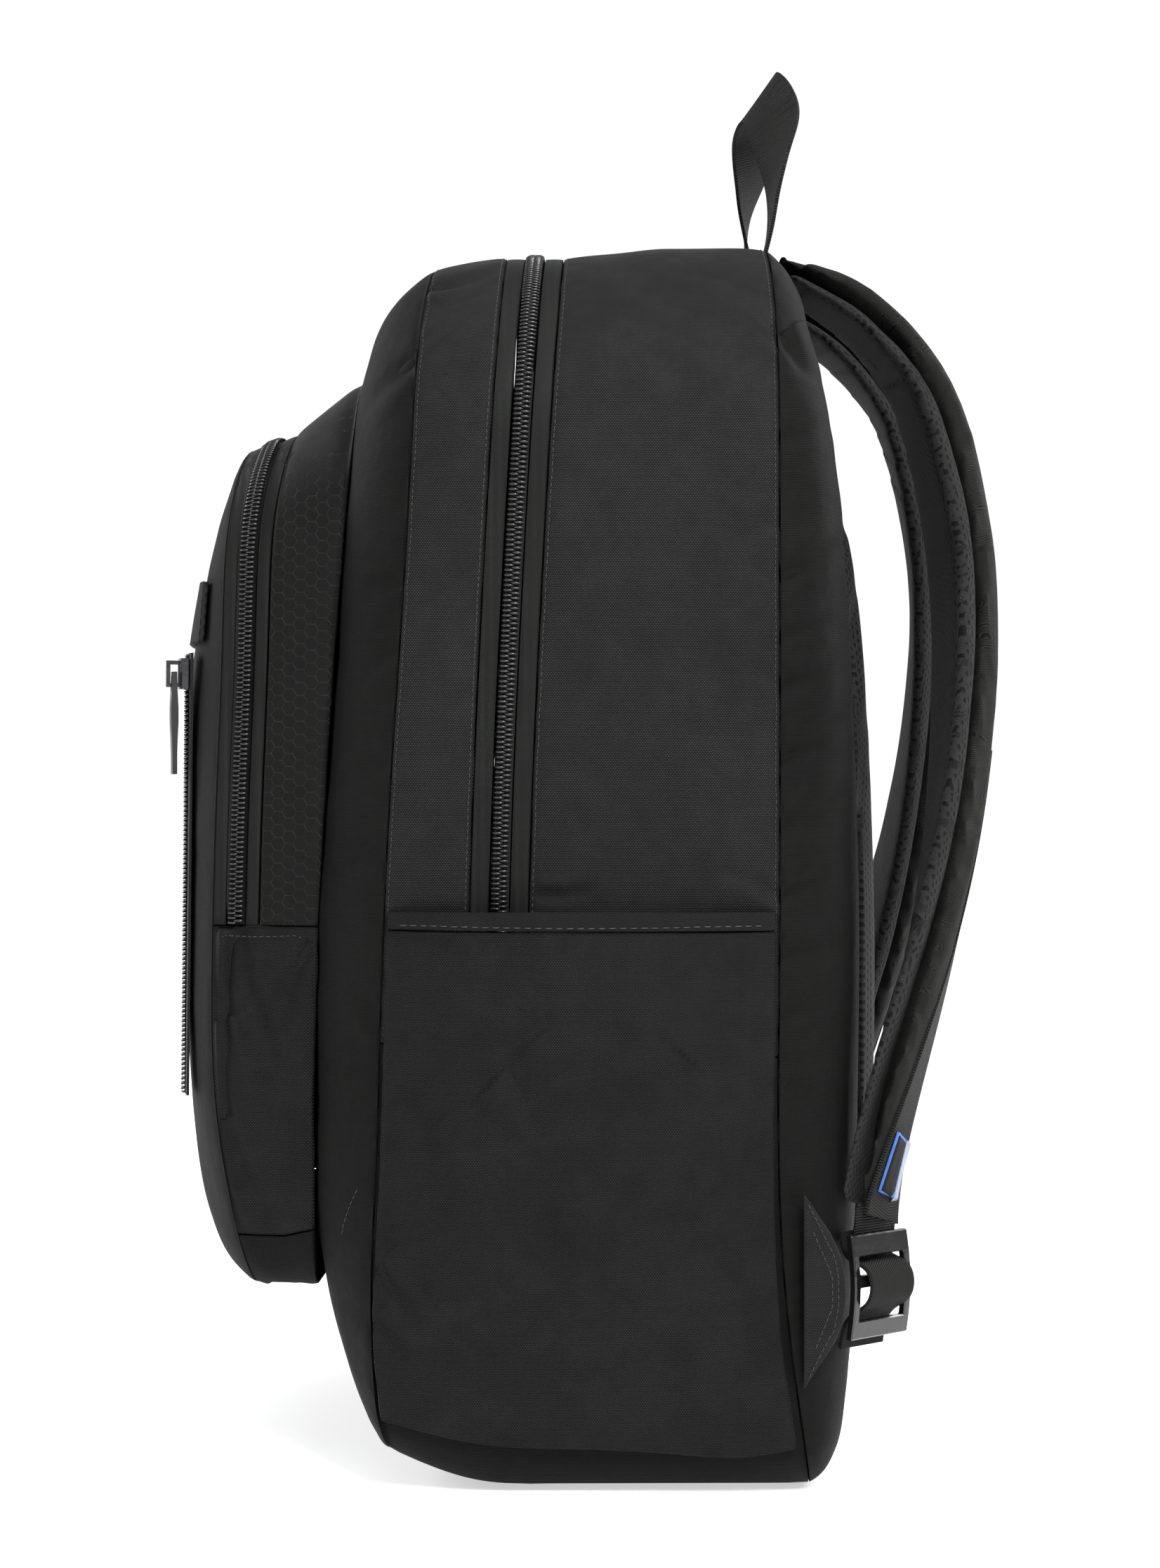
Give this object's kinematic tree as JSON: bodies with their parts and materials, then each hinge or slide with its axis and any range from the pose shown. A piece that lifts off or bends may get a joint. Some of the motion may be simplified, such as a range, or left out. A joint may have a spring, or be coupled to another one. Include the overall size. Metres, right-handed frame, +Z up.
{
  "type": "school backpack",
  "caption": "Soft school backpack with arched main zip, zipped organiser pocket, open side pockets, padded shoulder straps and a webbing grab handle.",
  "frame": {"origin": "middle of the flat base, on the surface the bag stands on", "axes": "+Z up; +Y towards the wearer's back and the shoulder straps; -Y towards the organiser pocket; +X the wearer's right"},
  "size_m": [0.3298, 0.3242, 0.5584],
  "materials": {
    "oxford_fabric": "coarse plain weave polyester",
    "panel_fabric": "fine ribbed polyester",
    "embossed_fabric": "embossed with small hexagons",
    "air_mesh": "open spacer mesh",
    "foam": "closed-cell foam",
    "webbing": "ribbed narrow webbing",
    "zip_tape": "fine herringbone tape",
    "zip_coil": "glossy nylon",
    "slider_metal": "dark plated",
    "buckle_plastic": "glossy acetal",
    "pull_rubber": "satin moulding",
    "label_cloth": "woven label"
  },
  "bodies": {
    "bag": {"front_panel": "panel_fabric", "back_panel": "panel_fabric", "base_gusset": "oxford_fabric", "gusset_front": "oxford_fabric", "gusset_rear": "oxford_fabric", "main_zip_tape_front": "zip_tape", "main_zip_tape_rear": "zip_tape", "main_zip_coil": "zip_coil", "pocket_gusset": "embossed_fabric", "pocket_side_left": "oxford_fabric", "pocket_side_right": "oxford_fabric", "pocket_base": "panel_fabric", "pocket_front_panel": "panel_fabric", "pocket_zip_tape_rear": "zip_tape", "pocket_zip_tape_front": "zip_tape", "pocket_zip_coil": "zip_coil", "front_band": "webbing", "front_zip_tape_left": "zip_tape", "front_zip_tape_right": "zip_tape", "front_zip_coil": "zip_coil", "side_pocket_left": "oxford_fabric", "side_pocket_right": "oxford_fabric", "side_pocket_hem_left": "oxford_fabric", "side_pocket_hem_right": "oxford_fabric", "back_pad_left": "air_mesh", "back_pad_right": "air_mesh", "back_foam": "foam", "base_board": "foam", "side_tab_left": "oxford_fabric", "side_tab_right": "oxford_fabric", "adjuster_webbing_left": "webbing", "adjuster_webbing_right": "webbing"},
    "main_slider_left": {"main_left_slider": "slider_metal"},
    "main_slider_right": {"main_right_slider": "slider_metal"},
    "main_pull_left": {"main_left_pull": "pull_rubber"},
    "main_pull_right": {"main_right_pull": "pull_rubber"},
    "organiser_slider": {"pocket_slider": "slider_metal"},
    "organiser_pull": {"pocket_pull": "pull_rubber"},
    "small_slider": {"front_slider": "slider_metal"},
    "small_pull": {"front_pull": "pull_rubber"},
    "handle": {"handle_loop": "webbing"},
    "strap_left": {"shoulder_pad_left": "panel_fabric", "pad_mesh_left": "air_mesh", "pad_webbing_left": "webbing"},
    "strap_right": {"shoulder_pad_right": "panel_fabric", "pad_mesh_right": "air_mesh", "pad_webbing_right": "webbing", "strap_label": "label_cloth"},
    "lock_left": {"ladder_lock_left": "buckle_plastic"},
    "lock_right": {"ladder_lock_right": "buckle_plastic"}
  },
  "joints": [
    {"name": "main_zip_left", "type": "slide", "parent": "bag", "child": "main_slider_left", "axis": [-1, 0, 0], "range_m": [0, 0.03]},
    {"name": "main_zip_right", "type": "slide", "parent": "bag", "child": "main_slider_right", "axis": [1, 0, 0], "range_m": [0, 0.08]},
    {"name": "main_pull_left_hinge", "type": "hinge", "parent": "main_slider_left", "child": "main_pull_left", "pos_m": [-0.038, -0.01728, 0.4757], "axis": [0, 1, 0], "range_deg": [0, 150]},
    {"name": "main_pull_right_hinge", "type": "hinge", "parent": "main_slider_right", "child": "main_pull_right", "pos_m": [-0.022, -0.01728, 0.4757], "axis": [0, -1, 0], "range_deg": [0, 150]},
    {"name": "organiser_zip", "type": "slide", "parent": "bag", "child": "organiser_slider", "axis": [0, 0.0449, 0.999], "range_m": [0, 0.085]},
    {"name": "organiser_pull_hinge", "type": "hinge", "parent": "organiser_slider", "child": "organiser_pull", "pos_m": [-0.11753, -0.13237, 0.22606], "axis": [-0.2491, 0.9685, 0], "range_deg": [0, 110]},
    {"name": "small_zip", "type": "slide", "parent": "bag", "child": "small_slider", "axis": [0, -0.0073, -1], "range_m": [0, 0.15]},
    {"name": "small_pull_hinge", "type": "hinge", "parent": "small_slider", "child": "small_pull", "pos_m": [0.07918, -0.15865, 0.30604], "axis": [-0.9766, -0.2149, 0], "range_deg": [0, 90]},
    {"name": "handle_fold", "type": "hinge", "parent": "bag", "child": "handle", "pos_m": [0, 0.073, 0.474], "axis": [1, 0, 0], "range_deg": [-30, 60], "stiffness_Nm_per_rad": 0.06},
    {"name": "strap_left_swing", "type": "hinge", "parent": "bag", "child": "strap_left", "pos_m": [0, 0.079, 0.4745], "axis": [1, 0, 0], "range_deg": [0, 30], "deforming": ["adjuster_webbing_left"]},
    {"name": "strap_right_swing", "type": "hinge", "parent": "bag", "child": "strap_right", "pos_m": [0, 0.079, 0.4745], "axis": [1, 0, 0], "range_deg": [0, 30], "deforming": ["adjuster_webbing_right"]},
    {"name": "lock_left_tilt", "type": "hinge", "parent": "strap_left", "child": "lock_left", "pos_m": [-0.1285, 0.1115, 0.0925], "axis": [0.7071, 0.7071, 0], "range_deg": [0, 50]},
    {"name": "lock_right_tilt", "type": "hinge", "parent": "strap_right", "child": "lock_right", "pos_m": [0.1285, 0.1115, 0.0925], "axis": [0.7071, -0.7071, 0], "range_deg": [0, 50]}
  ]
}
